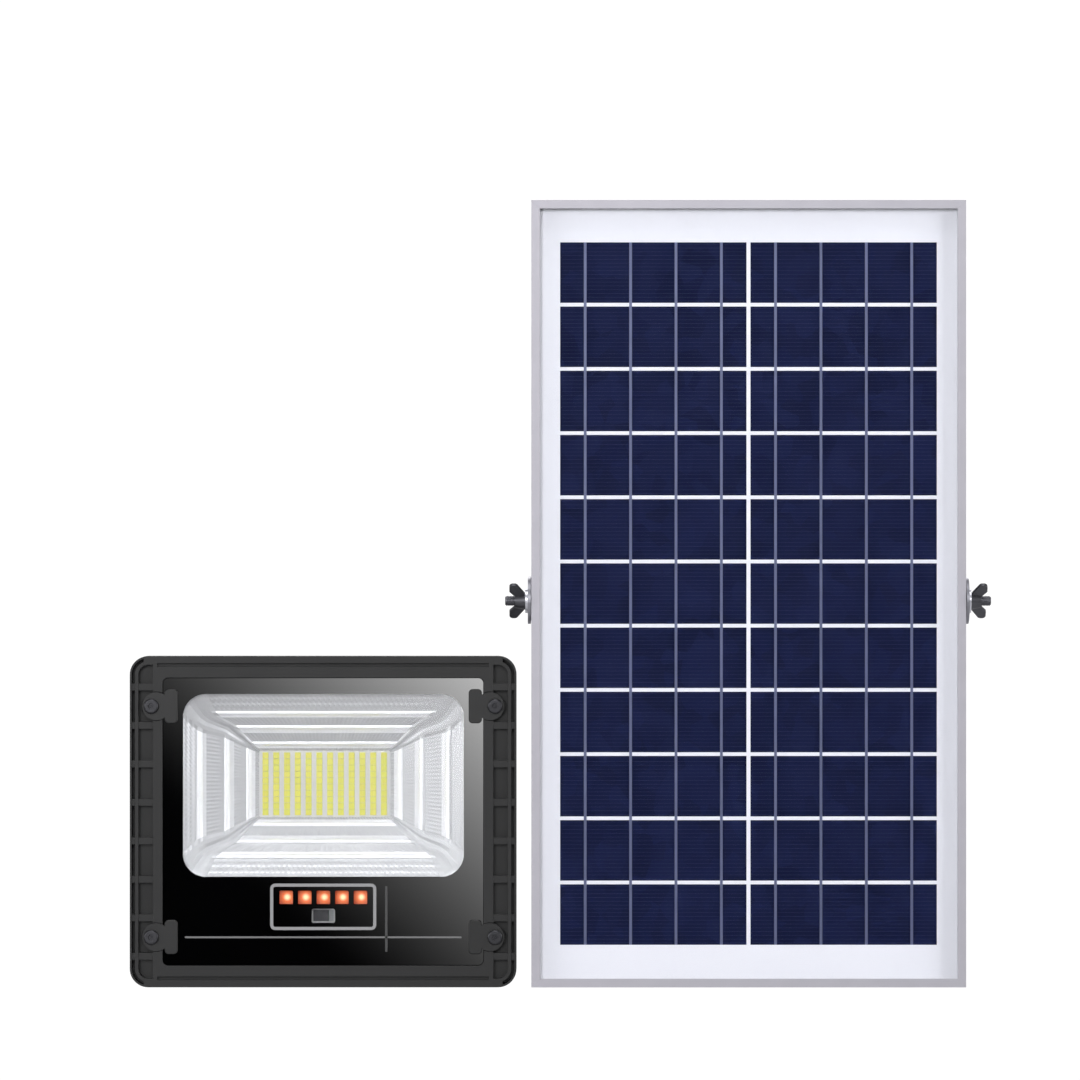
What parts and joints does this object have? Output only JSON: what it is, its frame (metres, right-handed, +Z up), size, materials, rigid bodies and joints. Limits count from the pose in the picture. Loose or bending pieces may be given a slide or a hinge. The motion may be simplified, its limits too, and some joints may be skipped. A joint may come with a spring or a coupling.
{
  "type": "solar flood light",
  "caption": "Square LED flood lamp and a separate framed solar panel, each tilting on its own wall bracket.",
  "frame": {"origin": "middle of the lamp bracket's wall face", "axes": "+X to the right, +Y into the wall, +Z up"},
  "size_m": [0.4662, 0.1312, 0.4255],
  "materials": {
    "housing_coat": "satin black powder coat on die-cast aluminium",
    "bracket_coat": "satin black powder coat on bent steel strap",
    "clear_glass": "tempered float glass",
    "seal_rubber": "moulded silicone rubber",
    "black_screw": "black zinc plated steel",
    "bright_screw": "zinc plated steel",
    "reflector_silver": "vacuum metallised polycarbonate",
    "led_substrate": "white solder resist on an aluminium board",
    "phosphor": "yellow phosphor gel in a moulded package",
    "status_glow": "diffused orange light emitting diode",
    "receiver_tint": "dark infrared-passing plastic",
    "circuit_board": "green solder resist on glass epoxy",
    "black_plastic": "moulded black polyamide",
    "button_cap": "moulded red silicone cap",
    "cell_sleeve": "blue shrink sleeve on lithium iron phosphate cells",
    "contact_nickel": "nickel strip",
    "foam": "closed-cell foam pad",
    "frame_anodised": "silver anodised aluminium extrusion",
    "cell_blue": "polycrystalline silicon with a blue nitride coat",
    "ribbon_tin": "tinned copper ribbon",
    "white_laminate": "white encapsulant and polyester backsheet",
    "panel_bracket_zinc": "bright zinc plated steel strap",
    "wing_nut_zinc": "dark zinc plated steel"
  },
  "bodies": {
    "wall_brackets": {"lamp_bracket": "bracket_coat", "panel_bracket": "panel_bracket_zinc"},
    "lamp": {"lamp_housing": "housing_coat", "battery_cover": "housing_coat", "glass_clips": "housing_coat", "lamp_glass": "clear_glass", "glass_gasket": "seal_rubber", "cover_gasket": "seal_rubber", "lamp_gland_seal": "seal_rubber", "clip_screws": "black_screw", "cover_screws": "black_screw", "led_board_screws": "bright_screw", "controller_screws": "bright_screw", "battery_holder_screws": "bright_screw", "board_spacers": "bright_screw", "lamp_pivot_bolts": "bright_screw", "lamp_pivot_washers": "bright_screw", "reflector": "reflector_silver", "led_board": "led_substrate", "led_packages": "phosphor", "status_lights": "status_glow", "light_receiver": "receiver_tint", "status_board": "circuit_board", "controller_board": "circuit_board", "status_holder": "black_plastic", "controller_components": "black_plastic", "battery_holder": "black_plastic", "button_bezel": "black_plastic", "switch_body": "black_plastic", "vent_plug": "black_plastic", "lamp_gland_body": "black_plastic", "lamp_gland_nut": "black_plastic", "lamp_gland_locknut": "black_plastic", "battery_cells": "cell_sleeve", "battery_contacts": "contact_nickel", "battery_pads": "foam"},
    "button": {"power_button": "button_cap"},
    "panel": {"panel_glass": "clear_glass", "panel_seal": "seal_rubber", "junction_gasket": "seal_rubber", "junction_gland_seal": "seal_rubber", "junction_screws": "bright_screw", "panel_pivot_bolts": "bright_screw", "panel_pivot_washers": "bright_screw", "junction_board": "circuit_board", "junction_box": "black_plastic", "junction_lid": "black_plastic", "junction_components": "black_plastic", "junction_gland_body": "black_plastic", "junction_gland_nut": "black_plastic", "junction_gland_locknut": "black_plastic", "frame_side_rails": "frame_anodised", "frame_end_rails": "frame_anodised", "frame_corner_keys": "frame_anodised", "solar_cells": "cell_blue", "cell_ribbons": "ribbon_tin", "encapsulant": "white_laminate", "backsheet": "white_laminate"},
    "left_nut": {"wing_nut_left": "wing_nut_zinc"},
    "right_nut": {"wing_nut_right": "wing_nut_zinc"}
  },
  "joints": [
    {"name": "lamp_tilt", "type": "hinge", "parent": "wall_brackets", "child": "lamp", "pos_m": [0, -0.095, 0], "axis": [1, 0, 0], "range_deg": [-90, 90]},
    {"name": "panel_tilt", "type": "hinge", "parent": "wall_brackets", "child": "panel", "pos_m": [0.23, -0.118, 0.11925], "axis": [1, 0, 0], "range_deg": [-75, 75]},
    {"name": "wing_nut_left_turn", "type": "hinge", "parent": "panel", "child": "left_nut", "pos_m": [0.1092, -0.118, 0.11925], "axis": [-1, 0, 0], "range_deg": [0, 720]},
    {"name": "wing_nut_right_turn", "type": "hinge", "parent": "panel", "child": "right_nut", "pos_m": [0.3508, -0.118, 0.11925], "axis": [1, 0, 0], "range_deg": [0, 720]},
    {"name": "power_button_press", "type": "slide", "parent": "lamp", "child": "button", "axis": [0, -1, 0], "range_m": [0, 0.0015], "stiffness_N_per_m": 300}
  ]
}
